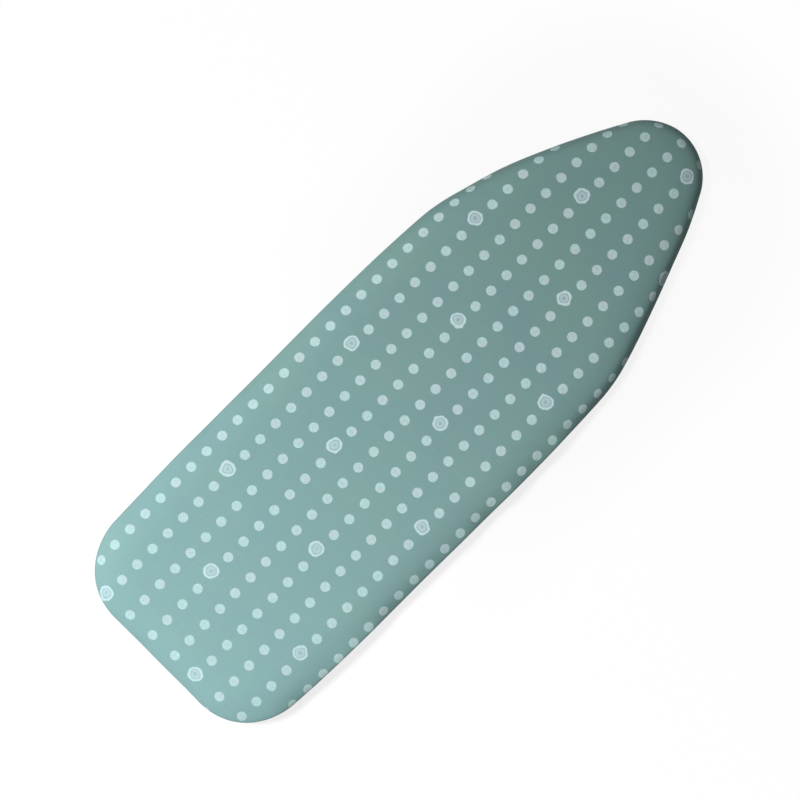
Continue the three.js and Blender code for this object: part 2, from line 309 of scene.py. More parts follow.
def makeStage():
    world = bpy.data.worlds.new("studio")
    bpy.context.scene.world = world
    world.use_nodes = True
    tree = world.node_tree
    tree.nodes.clear()
    soft, white = (grey(tree, "Background", 1, Strength=strength) for strength in (skyStrength, 1.0))
    nodeIn(tree, "OutputWorld", {"Surface": seenDirectly(tree, soft, white)})

    look = floorLook
    material, place = started("paleFloor")
    tree = place.tree
    x, y, _ = separate(place)
    past = calc("MAXIMUM", calc("ABSOLUTE", x) - look["line"], 0.0)
    away = calc("SQRT", calc("POWER", past, 2.0) + calc("POWER", calc("ABSOLUTE", y), 2.0))
    near = ramp(x, 0.0, 0.5, look["tail"], look["nose"])
    lit = near + ramp(away, *look["fade"]) * (look["far"] - near)
    pale, glow = grey(tree, "BsdfDiffuse", look["pale"]), grey(tree, "Emission", 1, Strength=1.0)
    seen = Wire(nodeIn(tree, "MixShader", {0: lit, 1: pale, 2: glow}))
    bounce = grey(tree, "BsdfDiffuse", look["bounce"])
    nodeIn(tree, "OutputMaterial", {"Surface": seenDirectly(tree, bounce, seen)})

    bpy.ops.object.select_all(action="DESELECT")
    bpy.ops.mesh.primitive_plane_add(size=look["size"], location=(0, 0, -look["drop"]))
    floor = bpy.context.object
    floor.name = "floor"
    floor.data.materials.append(material)

    data = bpy.data.lights.new("keyLamp", "AREA")
    data.shape = "DISK"
    data.size = lamp["size"]
    data.energy = lamp["power"]
    key = linked("keyLamp", data)
    key.location = lamp["place"]
    key.rotation_euler = (Vector(lamp["aim"]) - Vector(lamp["place"])).to_track_quat("-Z", "Y").to_euler()
    key.visible_camera = False


makeStage()
print("camera and stage made")


board = {
    "length": 1.000,
    "width": 0.340,
    "noseRadius": 0.068,
    "noseTurn": 62.5,
    "taperTurn": 11.2,
    "shoulderRadius": 0.252,
    "shoulderTurn": 12.7,
    "bendRadius": 2.700,
    "sideTurn": 1.6,
    "cornerRadius": 0.084,
    "rim": 0.011,
    "rimHeight": 0.020,
}

layers = {
    "gap": 0.0003,
    "felt": 0.0028,
    "sheet": 0.0009,
    "reach": 0.012,  # from the board's edge to the cover's
    "hemDepth": 0.044,
    "casingHeight": 0.0087,
}


def planArcs():
    # radius, first angle and last angle of each arc of one half, from the nose's tip to the tail
    rad = math.radians
    noseEnd = rad(board["noseTurn"])
    taperEnd = noseEnd + rad(board["taperTurn"])
    shoulderEnd = taperEnd + rad(board["shoulderTurn"])
    widest = math.pi / 2

    def rise(low, high):
        return math.sin(high) - math.sin(low)

    sideRise = board["shoulderRadius"] * rise(taperEnd, shoulderEnd) + board["bendRadius"] * rise(shoulderEnd, widest)
    noseRise = board["noseRadius"] * rise(0, noseEnd)
    taperRadius = (board["width"] / 2 - noseRise - sideRise) / rise(noseEnd, taperEnd)
    arcs = [
        (board["noseRadius"], 0, noseEnd),
        (taperRadius, noseEnd, taperEnd),
        (board["shoulderRadius"], taperEnd, shoulderEnd),
        (board["bendRadius"], shoulderEnd, widest),
    ]
    widestX = board["length"] / 2
    for radius, low, high in arcs:
        widestX += radius * (math.cos(high) - math.cos(low))
    sideShare = math.sin(rad(board["sideTurn"]))
    sideRadius = (widestX + board["length"] / 2 - board["cornerRadius"] * (1 - sideShare)) / sideShare
    sideEnd = widest + rad(board["sideTurn"])
    return arcs + [(sideRadius, widest, sideEnd), (board["cornerRadius"], sideEnd, math.pi)]


def halfOutline(spacings):
    # columns x, y, normal x, normal y, bend and way along the cover's edge, nose tip to tail middle.
    # One spacing is for each arc and the last for the tail's straight edge.
    rows = [(board["length"] / 2, 0.0, 1.0, 0.0, 1 / board["noseRadius"], 0.0)]
    for (radius, low, high), spacing in zip(planArcs(), spacings):
        x, y, way = rows[-1][0], rows[-1][1], rows[-1][5]
        centre = (x - radius * math.cos(low), y - radius * math.sin(low))
        sweep = (radius + layers["reach"]) * (high - low)
        steps = max(2, math.ceil(sweep / spacing))
        for k in range(1, steps + 1):
            angle = low + (high - low) * k / steps
            nx, ny = math.cos(angle), math.sin(angle)
            x, y = centre[0] + radius * nx, centre[1] + radius * ny
            rows.append((x, y, nx, ny, 1 / radius, way + sweep * k / steps))
    y, way = rows[-1][1], rows[-1][5]
    steps = math.ceil(y / spacings[-1])
    for k in range(1, steps + 1):
        rows.append((-board["length"] / 2, y * (1 - k / steps), -1.0, 0.0, 0.0, way + y * k / steps))
    return np.array(rows)


# how far the cloth stands out of the even outline or in from it, in mm, because it was pulled tight by
# hand: even steps from the middle of the tail round by -Y to the nose and back by +Y
pulledOut = (0.0, -0.3, 1.0, -0.6, 0.7, 0.7, -0.1, -1.4, -1.6, -1.6, -1.3, -1.3, -0.6, -1.1, -1.7, -1.3, 1.2, 0.5,
             -0.6, -2.6, -1.3, 0.4, 2.0, -0.2, 0.0, -0.3, -0.6, -0.5, -0.6, -0.5, 0.3, 1.0, 0.7, 0.3, 1.8, 0.2)


def pulledAt(ways, half):
    count = len(pulledOut)
    place = (np.asarray(ways) + half) / (2 * half) * count
    low = np.floor(place).astype(int)
    u = place - low
    a, b, c, d = (np.take(pulledOut, low + k, mode="wrap") for k in (-1, 0, 1, 2))
    curve = b + 0.5 * u * (c - a + u * (2 * a - 5 * b + 4 * c - d + u * (3 * (b - c) + d - a)))
    return 0.001 * curve


def wholeOutline(spacings):
    # the two halves as one round, from the middle of the tail round by -Y to the nose and back by +Y
    half = halfOutline(spacings)
    other = half[::-1] * np.array([1, -1, 1, -1, 1, -1])
    whole = np.vstack([other[:-1], half])
    whole[:, :2] += whole[:, 2:4] * pulledAt(whole[:, 5], half[-1, 5])[:, None]
    return whole


dense = wholeOutline([0.00075] * 7)
edgeHalf = dense[-1, 5]


def outlineAt(ways):
    # the outline's columns at these ways along the cover's edge
    return np.stack([np.interp(ways, dense[:, 5], dense[:, k]) for k in range(5)], axis=1)


gather = {
    "depth": 0.0052,  # of a pleat at the hem, where the edge bends most
    "sideDepth": 0.0007,  # of the faint ones along the straight sides
    "pitch": 0.0118,
    "sidePitch": 0.021,
    "seed": 12,
}


def gatherTables():
    bend = dense[:, 4]
    excess = (layers["hemDepth"] + layers["reach"]) * bend / (1 + layers["reach"] * bend)
    width = np.arange(-60, 61)
    kernel = np.exp(-0.5 * (width / 18.0) ** 2)
    padded = np.concatenate([excess[-61:-1], excess, excess[1:61]])
    excess = np.convolve(padded, kernel / kernel.sum(), mode="valid")
    share = np.clip(excess / 0.62, 0, 1)
    pitch = gather["sidePitch"] + (gather["pitch"] - gather["sidePitch"]) * smoothStep(0.02, 0.5, share)
    pitch *= 1 + 0.3 * smoothNoise(dense[:, 5] / 0.03 + 100, gather["seed"])
    steps = np.diff(dense[:, 5], prepend=dense[0, 5])
    phase = np.cumsum(steps / pitch)
    depth = gather["sideDepth"] + (gather["depth"] - gather["sideDepth"]) * share**0.7
    depth *= 0.78 + 0.22 * smoothNoise(phase + 50, gather["seed"] + 1)
    return phase, depth, share


gatherPhase, gatherDepth, gatherShare = gatherTables()


def gatherAt(ways, table):
    return np.interp(ways, dense[:, 5], table)


def pleatAt(ways, share):
    # how far the cloth stands out of its plain section; share runs from 0 at the edge to 1 at the hem
    phase = gatherAt(ways, gatherPhase)
    depth = gatherAt(ways, gatherDepth)
    wander = 0.16 * (1 - share) * smoothNoise(phase * 0.7 + 30, gather["seed"] + 2)
    wave = 0.5 - 0.5 * np.cos(2 * math.pi * (phase + wander))
    reach = 0.75 + 0.25 * smoothNoise(np.floor(phase) * 1.7 + 9, gather["seed"] + 3)
    return depth * wave**1.25 * smoothStep(0.0, 1.0, np.clip(share * reach * 1.25, 0, 1))


spacing = {
    "sheet": [0.0016, 0.0034, 0.0030, 0.0050, 0.0052, 0.0016, 0.0040],
    "pad": [0.0040, 0.0080, 0.0060, 0.0100, 0.0120, 0.0045, 0.0100],
}
middleLine = (-0.33, 0.37)


# how far the print has crept along and across the board, in mm: terms 1, x, y, x2, xy, y2, x3, x2y, xy2, y3
printCreep = {
    "along": (0.5, 0.3, 0.2, -0.9, 1.0, -1.8, -1.5, 0.2, -0.6, -0.4),
    "across": (0.6, -0.4, -0.5, -1.7, 0.3, -0.2, 0.1, 1.2, 0.0, 0.1),
    "span": (0.40, 0.12),
    "tail": 6.0,  # more of it over the tail's edge
}


def creepAt(flats):
    x = np.clip(flats[:, 0] / printCreep["span"][0], -1.4, 1.4)
    y = np.clip(flats[:, 1] / printCreep["span"][1], -1.5, 1.5)
    terms = np.stack([x**0, x, y, x * x, x * y, y * y, x**3, x * x * y, x * y * y, y**3], 1)
    tail = printCreep["tail"] * smoothStep(0.498, 0.524, -flats[:, 0])
    return 0.001 * np.stack([terms @ printCreep["along"] - tail, terms @ printCreep["across"]], 1)


def ringMesh(name, outline, section, inner, pleat=None, closeLast=False):
    # section: rows [out, up, normal out, normal up, flat way, pleat share] from the flat top's edge
    # outwards; inner: shares of the way from the middle line to the first of them
    count = len(outline) - 1
    x, y, nx, ny, way = (outline[:count, k] for k in (0, 1, 2, 3, 5))
    rings, flats = [], []

    def middleRings(out, up, shares):
        edgeX, edgeY = x + nx * out, y + ny * out
        evenX = edgeX - nx * pulledAt(way, outline[-1, 5])
        span = (evenX - evenX.min()) / (evenX.max() - evenX.min())
        midX = middleLine[0] + span * (middleLine[1] - middleLine[0])
        for share in shares:
            ringX = midX + (edgeX - midX) * share
            rings.append(np.stack([ringX, edgeY * share, np.full(count, up)], 1))
            flats.append(rings[-1][:, :2])

    middleRings(float(np.mean(section[0][0])), float(np.mean(section[0][1])), inner)
    for row in section:
        out, up, normalOut, normalUp, flatWay, pleatShare = (np.broadcast_to(v, (count + 1,))[:count] for v in row)
        lift = pleat(way, pleatShare) if pleat is not None and pleatShare.max() > 0 else np.zeros(count)
        reach = out + normalOut * lift
        rings.append(np.stack([x + nx * reach, y + ny * reach, up + normalUp * lift], 1))
        flats.append(np.stack([x + nx * flatWay, y + ny * flatWay], 1))
    if closeLast:
        middleRings(section[-1][0], section[-1][1], inner[::-1])
    points = np.concatenate(rings)
    uvs = np.concatenate(flats)
    faces = bandFaces(np.arange(len(rings) - 1) * count, count)
    piece = meshObject(name, points, faces, uvs - creepAt(uvs))

    def joinMiddle(made):
        made.verts.ensure_lookup_table()
        ends = list(made.verts[:count]) + (list(made.verts[-count:]) if closeLast else [])
        bmesh.ops.remove_doubles(made, verts=ends, dist=1e-6)

    reworked(piece, joinMiddle)
    return piece


# how steeply the padded top falls, in degrees, at each distance in from the cover's edge. The cloth is
# pulled tighter round the nose. The last bit turns down in one arc.
crown = {
    "away": (0.055, 0.044, 0.036, 0.030, 0.025, 0.020, 0.016, 0.013, 0.010, 0.008, 0.006, 0.004, 0.001),
    "side": (0, 4, 8, 10.5, 13, 17, 21, 24.5, 27, 28.5, 30, 32, 40),
    "nose": (1, 5, 8, 11, 14, 18, 22, 28, 40, 50, 58, 64, 68),
    "noseFrom": (-0.02, 0.32),
    "lumps": 0.30,
    "lumpLength": 0.045,
    "lumpFade": 0.04,  # both ends of the outline meet in the tail's middle
    "top": 0.043,
    "hem": 0.0078,
    "steps": 16,
    "turnIn": 0.023,  # how far the turn under the rim reaches
    "turnSteps": 9,
    "hemSteps": 7,
    "plain": 0.004,  # the way past the edge where the gathers begin
}


def crownCurve(tilts):
    # [out, up] from the flat top's edge to the widest place
    away = np.array(crown["away"])
    fine = np.linspace(away[0], away[-1], 256)
    tilt = np.radians(np.interp(-fine, -away, tilts))
    down = np.concatenate([[0], np.cumsum(-np.diff(fine) * np.tan((tilt[1:] + tilt[:-1]) / 2))])
    turn = np.linspace(tilt[-1], math.pi / 2, 48)[1:]
    radius = away[-1] / (1 - math.sin(tilt[-1]))
    out = np.append(layers["reach"] - fine, layers["reach"] - radius * (1 - np.sin(turn)))
    down = np.append(down, down[-1] + radius * (math.cos(tilt[-1]) - np.cos(turn)))
    return np.stack([out, crown["top"] - down], 1)


def crownRows(outline, inset=0.0, steps=crown["steps"]):
    # [row, station, out and up]: the side's curve and the nose's, mixed along the outline, and set in
    nose = smoothStep(*crown["noseFrom"], outline[:, 0])
    lumps = crown["lumps"] * smoothNoise(outline[:, 5] / crown["lumpLength"] + 60, 21)
    lumps *= smoothStep(0.0, crown["lumpFade"], edgeHalf - np.abs(outline[:, 5]))
    nose = nose + lumps * (1 - nose * 0.6)
    curves = []
    for tilts in (crown["side"], crown["nose"]):
        curve = crownCurve(tilts)
        slope = directions(curve)
        curve = curve - inset * np.stack([-slope[:, 1], slope[:, 0]], 1)
        way = wayAlong(curve)
        places = way[-1] * (1 - (1 - np.linspace(0, 1, steps + 1)) ** 1.5)
        curves.append(np.stack([np.interp(places, way, curve[:, k]) for k in (0, 1)], 1))
    side, tight = (curve[:, None, :] for curve in curves)
    return side + (tight - side) * nose[None, :, None]


def coverSection(outline):
    rows = crownRows(outline)
    edge = len(rows) - 1
    wide = rows[-1, :, 1]
    under = []
    for k in range(crown["turnSteps"]):
        angle = math.pi / 2 * (k + 1) / crown["turnSteps"]
        out = np.full(len(outline), -board["rim"] + crown["turnIn"] * math.cos(angle))
        under.append(np.stack([out, crown["hem"] + (wide - crown["hem"]) * (1 - math.sin(angle))], 1))
    for k in range(crown["hemSteps"]):
        out = np.full(len(outline), -board["rim"] - (layers["hemDepth"] - board["rim"]) * (k + 1) / crown["hemSteps"])
        under.append(np.stack([out, np.full(len(outline), crown["hem"])], 1))
    rows = np.concatenate([rows, np.array(under)])
    slope = directions(rows)
    way = wayAlong(rows)
    past = way.mean(axis=1)
    past = past - past[edge] - crown["plain"]
    share = np.clip(past / past[-1], 0, 1)
    return [
        (rows[k, :, 0], rows[k, :, 1], -slope[k, :, 1], slope[k, :, 0], rows[0, :, 0] + way[k], share[k])
        for k in range(len(rows))
    ]


def flatArea(outline, out):
    x, y = outline[:, 0] + outline[:, 2] * out, outline[:, 1] + outline[:, 3] * out
    return abs(0.5 * np.sum(x[:-1] * y[1:] - x[1:] * y[:-1]))


fineOutline = wholeOutline(spacing["sheet"])
section = coverSection(fineOutline)
innerShares = [0.0, 0.14, 0.28, 0.42, 0.55, 0.67, 0.78, 0.88, 0.95]
cover = ringMesh("printedCover", fineOutline, section, innerShares, pleatAt)
applied(cover, "SOLIDIFY", thickness=layers["sheet"], offset=-1)
flatOut = section[-1][4]
coverArea = flatArea(fineOutline, flatOut)
coverFlat = tuple(np.ptp(fineOutline[:, :2] + fineOutline[:, 2:4] * flatOut[:, None], axis=0).tolist())
print("cover faces", len(cover.data.polygons), "flat", coverFlat, "area", coverArea)


dots = {
    "origin": (-0.0076, -0.0472),
    "along": (0.03008, 0.00029),
    "across": (0.00187, -0.04099),
    "radius": 0.00695,
}
rings = {
    "origin": (-0.0075, -0.0436),
    "along": (0.12406, -0.08082),
    "across": (0.11658, 0.08314),
    "radius": 0.0107,
    "inside": 0.0075,
    "disc": 0.0060,
    "eye": 0.0023,
    "room": 0.014,  # kept clear of dots
}
printColours = {
    "ground": fromScreen(125, 160, 155),
    "groundCool": fromScreen(122, 157, 157),
    "dot": fromScreen(193, 227, 226),
    "dotGrey": fromScreen(201, 219, 223),
    "litTailFade": (-0.45, 0.30, 0.53),  # painted shade: the dots and roundels are faded towards the brightly lit tail, where the light washes them out: from, to and how much ink is kept there
    "ring": fromScreen(204, 228, 231),
    "well": fromScreen(160, 186, 189),
    "disc": fromScreen(186, 209, 214),
    "weave": 0.00052,
}


def latticeDistance(place, lattice):
    # the distance in metres to the nearest point of a lattice of dots
    (ax, ay), (bx, by) = lattice["along"], lattice["across"]
    size = ax * by - ay * bx
    half = (0.5, 0.5, 0)
    shifted = vector("SUBTRACT", place, (*lattice["origin"], 0))
    along = vector("DOT_PRODUCT", shifted, (by / size, -bx / size, 0))
    across = vector("DOT_PRODUCT", shifted, (-ay / size, ax / size, 0))
    cell = vector("SUBTRACT", vector("FRACTION", vector("ADD", combine(along, across), half)), half)
    x, y = (vector("DOT_PRODUCT", cell, row) for row in ((ax, bx, 0), (ay, by, 0)))
    return vector("LENGTH", combine(x, y))


def inkDisc(distance, radius, soft=0.0005):
    return ramp(distance, radius - soft, radius + soft, 1.0, 0.0)


def printedCotton():
    material, place = started("printedCotton", "print")
    wobble = (noise(place, 140.0, 5.0, 0.65) - 0.5) * 0.0018
    uneven = (noise(place, 95.0, 1.0) - 0.5) * 0.0060
    dotAway = latticeDistance(place, dots) + wobble
    ringAway = latticeDistance(place, rings) + (wobble + uneven)

    alongBoard = separate(place)[0]
    # random blotches of a cooler ground, plus painted light: the ground turns cooler towards the brightly lit tail,
    # standing in for the bluish light there
    blotsAndLitTint = noise(place, 9.0, 4.0, 0.6) + ramp(alongBoard, -0.5, 0.5, 0.14, -0.14, "LINEAR")
    ground = mixColour(ramp(blotsAndLitTint, 0.3, 0.7), printColours["ground"], printColours["groundCool"])
    patchy = ramp(noise(place, 55.0, 5.0, 0.62), 0.40, 0.60)
    ink = mixColour(patchy, printColours["dot"], printColours["dotGrey"])
    # painted shade: less ink on the dots and roundels towards the brightly lit tail, standing in for the light
    # washing them out there
    litFadeFrom, litFadeTo, thin = printColours["litTailFade"]
    thinned = ramp(alongBoard, litFadeFrom, litFadeTo, thin, 1.0, "LINEAR")
    # the ink took unevenly, and a little less in the middle of each dot
    mottle = ramp(noise(place, 270.0, 3.0, 0.6), 0.38, 0.62, 0.79, 1.0)
    middle = inkDisc(dotAway, 0.0020, soft=0.0013)
    kept = thinned * mottle * (1.0 - middle * 0.08)
    free = 1.0 - inkDisc(ringAway, rings["room"])
    colour = mixColour(inkDisc(dotAway, dots["radius"]) * free * kept, ground, ink)
    roundel = printColours["ring"]
    for size, shade in (("inside", "well"), ("disc", "disc"), ("eye", "well")):
        roundel = mixColour(inkDisc(ringAway, rings[size]), roundel, printColours[shade])
    # the roundels are faded towards the lit tail too: painted shade
    colour = mixColour(inkDisc(ringAway, rings["radius"]) * thinned, colour, roundel)

    turns = 2 * math.pi / printColours["weave"]
    warp, weft, _ = separate(vector("MULTIPLY", place, (turns, turns, 0)))
    weave = calc("SINE", warp) * calc("SINE", weft)
    slub = streaks(place, (40, 1900, 1), detail=1.0) + streaks(place, (1900, 40, 1), detail=1.0)
    # the odd thicker yarn, each way
    lengthwise, crosswise = (ramp(streaks(place, way), 0.58, 0.74) for way in ((14, 620, 1), (620, 14, 1)))
    thick = lengthwise + crosswise
    shade = weave * 0.03 + slub * 0.12 + thick * 0.035 + 0.875
    colour = mixColour(1.0, colour, combine(shade, shade, shade), "MULTIPLY")

    fine = bump(weave * 0.5 + (slub + thick), 0.5, 0.00012)
    soft = bump(noise(place, 26.0, 3.0), 0.35, 0.0006, Normal=fine)
    coated(colour, soft, Roughness=0.88, Specular_IOR_Level=0.06, Sheen_Weight=0.06, Sheen_Roughness=0.5)
    return material


finishPiece(cover, "cover", printedCotton(), "printed_cover")


def padFoam():
    material, place = started("padFoam")
    pores = ramp(cells(place, 900.0), 0.1, 0.6)
    tone = pores * 0.5 + noise(place, 30.0) * 0.5
    colour = mixColour(tone, fromScreen(214, 207, 188), fromScreen(238, 234, 221))
    finished(colour, pores, 0.5, 0.0005, Roughness=0.95, Sheen_Weight=0.1)
    return material


def needledFelt():
    material, place = started("needledFelt")
    shift = vector("MULTIPLY", noise(place, 160.0, output="Color"), (0.004, 0.004, 0.004))
    warped = vector("ADD", place, shift)
    fibres = [streaks(warped, stretch, 260.0, 3.0, 0.65) for stretch in ((1, 9, 1), (9, 1, 1), (5, 7, 1))]
    fluff = calc("MAXIMUM", calc("MAXIMUM", fibres[0], fibres[1]), fibres[2])
    height = fluff + ramp(cells(place, 420.0, 0.8), 0.0, 0.35) * 0.5
    patches = ramp(noise(place, 14.0, 4.0), 0.35, 0.7, 0.0, 0.3)
    colour = mixColour(ramp(fluff, 0.42, 0.72), fromScreen(158, 157, 152), fromScreen(203, 202, 196))
    colour = mixColour(patches, colour, fromScreen(176, 174, 168))
    finished(colour, height, 0.6, 0.0006, Roughness=0.98, Sheen_Weight=0.2)
    return material


def layerRows(rows):
    return [(out, up, 0.0, 0.0, out, 0.0) for out, up in rows]  # out and up may be one value for each station


def rimArc(radius, low, high, steps):
    # points of an arc round the board's rim, between two angles in degrees from level
    rows = []
    for k in range(steps + 1):
        angle = math.radians(low + (high - low) * k / steps)
        rows.append([-board["rim"] + radius * math.cos(angle), board["rimHeight"] + radius * math.sin(angle)])
    return rows


pads = {
    "shares": [0.0, 0.25, 0.5, 0.75, 0.92],  # of the way from the middle line to the flat top's edge
    "flatOut": -0.034,
    "topSteps": 11,
    "foamEdge": ((0.0005, 0.0010), (0.0008, 0.0001)),  # its last two rows: how far in and up from the cover's
    "foamWall": 0.0005,  # how far its foot stands off the felt's arc
    "foamArc": (3, 90, 7),  # round the rim: from, to and steps
    "feltArc": (90, -25, 10),
}

padOutline = wholeOutline(spacing["pad"])
feltInside = board["rim"] + layers["gap"]
feltOutside = feltInside + layers["felt"]
foamInside = feltOutside + layers["gap"]

foamTop = crownRows(padOutline, layers["sheet"] + layers["gap"], pads["topSteps"])
foamRows = [(row[:, 0], row[:, 1]) for row in foamTop[:-1]]
foamRows += [(foamTop[-1][:, 0] - inward, foamTop[-1][:, 1] + rise) for inward, rise in pads["foamEdge"]]
foamRows.append([-board["rim"] + foamInside + pads["foamWall"], board["rimHeight"]])
foamRows += rimArc(foamInside, *pads["foamArc"])
foamRows.append([pads["flatOut"], board["rimHeight"] + foamInside])
foam = ringMesh("foamPad", padOutline, layerRows(foamRows), pads["shares"], closeLast=True)
finishPiece(foam, "cover", padFoam(), "foam_pad")

feltFrom, feltTo, _ = pads["feltArc"]
feltRows = [[pads["flatOut"], board["rimHeight"] + feltOutside]] + rimArc(feltOutside, *pads["feltArc"])
felt = ringMesh("feltBacking", padOutline, layerRows(feltRows), pads["shares"])
applied(felt, "SOLIDIFY", thickness=layers["felt"], offset=-1)
feltReach = feltOutside * math.radians(feltFrom - feltTo) - board["rim"]
finishPiece(felt, "cover", needledFelt(), "felt_backing")
board["length"] + 2 * feltReach
board["width"] + 2 * feltReach
flatArea(padOutline, feltReach)
print("pads made")


hem = {
    "mouth": 0.015,  # half the gap between the casing's two ends
    "middle": -0.0493,
    "halfWidth": 0.0050,
    "sides": 16,
    "square": 2 / 2.6,  # the tube's section: 1 is round, and 0 would be a square
    "tape": 0.0006,
    "fine": 0.0014,  # spacing where the hem is gathered
    "coarse": 0.0030,
    "tailRows": (-0.0449, -0.0418, -0.0388),  # across the tape's sewn flap, from the tube outwards
    "tailOut": -0.0363,
    "tailTop": 0.0075,
    "tailFold": 0.0069,  # where the two layers of the flap meet
    "tailBottom": 0.0063,
    "foldBack": 0.0002,  # how the edge of each layer is rounded
    "foldRise": 0.0003,
    "stitchOut": -0.0403,
    "stitch": 0.0025,
    "stitchGap": 0.0005,
    "stitchEnd": 0.0035,  # how far inside the casing's mouths the seam ends
    "stitchRise": 0.00030,
    "stitchSunk": 0.00008,
    "threadRadius": 0.0003,
}

bartack = {
    "side": 0.0166,  # from the middle of the tail
    "long": 0.0066,
    "wide": 0.0021,
    "threads": 17,
    "lean": 0.00018,
    "up": 0.0058,
    "rise": 0.00045,
    "under": 0.00575,  # where its two long threads lie
    "underHalf": 0.0005,
    "radius": 0.00021,
}

label = {
    "x": (-0.0117, 0.0183),
    "y": (-0.1277, -0.1517),  # from its sewn edge to its fold
    "seamUp": 0.0052,
    "foldUp": 0.0042,
    "fold": 0.0002,  # half the space between its two layers at the seam
    "foldRadius": 0.00055,
    "cloth": 0.00018,
    "rows": 12,
    "foldRows": 6,
    "columns": 16,
}


def hemShare(out):
    # the pleat share of the cover's section where it reaches this far in
    outs = [float(row[0][0]) for row in section[-8:]]
    shares = [row[5] for row in section[-8:]]
    return float(np.interp(out, outs[::-1], shares[::-1]))


def hemWays(fine, coarse):
    # ways along the cover's edge between the casing's mouths, finer where the edge is gathered
    end = edgeHalf - hem["mouth"]
    ways = [-end]
    while ways[-1] < end:
        share = gatherAt(ways[-1], gatherShare)
        ways.append(ways[-1] + coarse + (fine - coarse) * float(smoothStep(0.05, 0.3, share)))
    ways = np.array(ways)
    return ways[0] + (ways - ways[0]) * (2 * end) / (ways[-1] - ways[0])


def sweptLoops(name, ways, loops):
    # one closed loop of [out, up] points for each way; the ends stay open
    at = outlineAt(ways)
    count = loops.shape[1]
    out, up = loops[:, :, 0], loops[:, :, 1]
    points = np.stack([at[:, 0:1] + at[:, 2:3] * out, at[:, 1:2] + at[:, 3:4] * out, up], 2).reshape(-1, 3)
    uvs = np.stack([np.repeat(wayAlong(ways[:, None]), count), np.tile(wayAlong(loops[0]), len(ways))], 1)
    return meshObject(name, points, bandFaces(np.arange(len(ways) - 1) * count, count), uvs, "cloth")


def hemTape():
    material, place = started("hemTape", "cloth")
    along, across, _ = separate(place)
    twill = waves(along + calc("PINGPONG", across, 0.0012), 0.0008)
    tone = twill * 0.18 + streaks(place, (900, 2400, 1))
    patches = ramp(noise(objectPlace(place.tree), 60.0, 3.0), 0.4, 0.75, 0.0, 0.25)
    colour = mixColour(ramp(tone, 0.2, 0.9), fromScreen(104, 138, 136), fromScreen(134, 168, 166))
    colour = mixColour(patches, colour, fromScreen(112, 146, 146))
    finished(colour, tone, 0.5, 0.00018, Roughness=0.9, Sheen_Weight=0.1)
    return material


def joined(piece, others):
    onlySelect(piece)
    for other in others:
        other.select_set(True)
    bpy.ops.object.join()


def makeCasing():
    ways = hemWays(hem["fine"], hem["coarse"])
    phase = gatherAt(ways, gatherPhase)
    share = gatherAt(ways, gatherShare)
    middleUp = layers["casingHeight"] / 2
    angles = 2 * math.pi * np.arange(hem["sides"]) / hem["sides"]
    across, rise = (np.sign(turn) * np.abs(turn) ** hem["square"] for turn in (np.cos(angles), np.sin(angles)))
    # drawn in between the gathers, and a little uneven
    pucker = (0.5 - 0.5 * np.cos(2 * math.pi * phase)) * (0.05 + 0.25 * share)
    ripple = 0.5 + 0.5 * smoothNoise(ways[:, None] / 0.0055 + 3 * np.sin(angles)[None, :] + 60, 31)
    size = 1 - pucker[:, None] * (0.65 + 0.35 * np.cos(angles)[None, :]) - 0.10 * ripple
    outs = hem["middle"] + hem["halfWidth"] * across[None, :] * size
    ups = middleUp + middleUp * rise[None, :] * size
    tube = sweptLoops("casing", ways, np.stack([outs, ups], 2))
    applied(tube, "SOLIDIFY", thickness=hem["tape"], offset=-1)

    tip, top, bottom = hem["tailOut"], hem["tailTop"], hem["tailBottom"]
    back = tip - hem["foldBack"]
    slab = [[out, bottom] for out in hem["tailRows"]] + [[back, bottom], [tip, bottom + hem["foldRise"]]]
    slab += [[back, hem["tailFold"]], [tip, top - hem["foldRise"]], [back, top]]
    slab += [[out, top] for out in hem["tailRows"][::-1]]
    loops = np.repeat(np.array(slab)[None], len(ways), 0)
    for k, (out, up) in enumerate(slab):
        loops[:, k, 1] = up - pleatAt(ways, hemShare(max(out, -layers["hemDepth"])))
    joined(tube, [sweptLoops("casingFlap", ways, loops)])
    reworked(tube, closeEnds)
    tube.name = "hemCasing"
    return finishPiece(tube, "cover", hemTape(), "hem_casing")


def tubesAlong(name, paths, radii, sides=6):
    # many threads at once, seen from below: paths are [thread, point, 3] and radii [thread, point]
    tubes, points = paths.shape[:2]
    along = directions(paths, axis=1)
    side = np.cross(along, (0.0, 0.0, -1.0))
    side /= np.linalg.norm(side, axis=2)[:, :, None]
    up = np.cross(side, along)
    angles = 2 * math.pi * np.arange(sides) / sides
    cosines, sines = (turn[None, None, :, None] for turn in (np.cos(angles), np.sin(angles)))
    ring = cosines * side[:, :, None, :] + sines * up[:, :, None, :]
    verts = (paths[:, :, None, :] + ring * radii[:, :, None, None]).reshape(-1, 3)
    around = (angles / (2 * math.pi))[None, None, :]
    uvs = np.stack(np.broadcast_arrays(wayAlong(paths, axis=1)[:, :, None], around), 3).reshape(-1, 2)
    starts = np.arange(tubes)[:, None] * points * sides
    here = np.arange(sides)
    caps = np.concatenate([starts + here, starts + (points - 1) * sides + here[::-1]]).tolist()
    return meshObject(name, verts, bandFaces(starts + np.arange(points - 1) * sides, sides) + caps, uvs, "thread")


def sewingThread():
    material, place = started("sewingThread", "thread")
    along, around, _ = separate(place)
    ply = calc("SINE", along * (2 * math.pi / 0.0007) + around * (4 * math.pi))
    colour = mixColour(ramp(ply, -1.0, 1.0), fromScreen(172, 200, 198), fromScreen(211, 229, 228))
    finished(colour, ply, 0.6, 0.00012, Roughness=0.6, Sheen_Weight=0.1)
    return material


threadMaterial = sewingThread()
threadShares = np.linspace(0, 1, 6)


